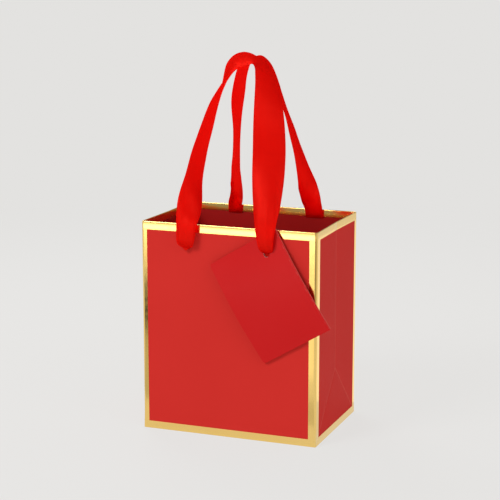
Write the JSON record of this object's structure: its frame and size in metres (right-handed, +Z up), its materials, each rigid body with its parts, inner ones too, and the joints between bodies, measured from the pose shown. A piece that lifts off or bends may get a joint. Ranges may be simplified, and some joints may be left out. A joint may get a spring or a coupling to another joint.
{
  "type": "gift bag",
  "caption": "Small upright card gift bag with foil-edged panels, a turned-in rim, satin ribbon handles, a loose base board and a folded swing tag.",
  "frame": {"origin": "middle of the flat base, on the surface that the bag stands on", "axes": "+Z up the bag, the front panel faces -Y, +X to the right seen from the front"},
  "size_m": [0.1494, 0.1021, 0.2843],
  "materials": {
    "bag_card": "matte laminated",
    "hem_card": "matte",
    "gold_foil": "polished gold lacquered foil",
    "board": "matte grey board",
    "ribbon_satin": "satin",
    "tag_card": "matte laminated"
  },
  "bodies": {
    "bag": {"front_panel": "bag_card", "back_panel": "bag_card", "left_gusset": "bag_card", "right_gusset": "bag_card", "side_seam_tab": "bag_card", "front_bottom_flap": "bag_card", "back_bottom_flap": "bag_card", "left_bottom_flap": "bag_card", "right_bottom_flap": "bag_card", "front_hem": "hem_card", "back_hem": "hem_card", "left_hem": "hem_card", "right_hem": "hem_card", "front_rim_board": "board", "back_rim_board": "board", "front_foil_frame": "gold_foil", "back_foil_frame": "gold_foil", "left_foil_frame": "gold_foil", "right_foil_frame": "gold_foil", "inner_foil_band": "gold_foil", "front_left_ribbon_tail": "ribbon_satin", "front_right_ribbon_tail": "ribbon_satin", "front_left_knot": "ribbon_satin", "front_right_knot": "ribbon_satin", "back_left_ribbon_tab": "ribbon_satin", "back_right_ribbon_tab": "ribbon_satin"},
    "base_board": {"base_board": "board"},
    "front_handle": {"front_handle": "ribbon_satin"},
    "back_handle": {"back_handle": "ribbon_satin"},
    "tag": {"tag_back_leaf": "tag_card", "tag_fold": "tag_card", "tag_front_margin": "tag_card"},
    "tag_leaf": {"tag_front_flap": "tag_card"}
  },
  "joints": [
    {"name": "base_board_lift", "type": "slide", "parent": "bag", "child": "base_board", "axis": [0, 0, 1], "range_m": [0, 0.13]},
    {"name": "front_handle_swing", "type": "hinge", "parent": "bag", "child": "front_handle", "pos_m": [0, -0.0514, 0.143], "axis": [1, 0, 0], "range_deg": [0, 150]},
    {"name": "back_handle_swing", "type": "hinge", "parent": "bag", "child": "back_handle", "pos_m": [0, 0.0453, 0.161], "axis": [1, 0, 0], "range_deg": [-90, 0]},
    {"name": "tag_swing", "type": "hinge", "parent": "bag", "child": "tag", "pos_m": [0.032, -0.0495, 0.143], "axis": [0, 1, 0], "range_deg": [-35, 35]},
    {"name": "tag_leaf_open", "type": "hinge", "parent": "tag", "child": "tag_leaf", "pos_m": [0.02201, -0.0502, 0.137], "axis": [0.515, 0, -0.8572], "range_deg": [-110, 0]}
  ]
}
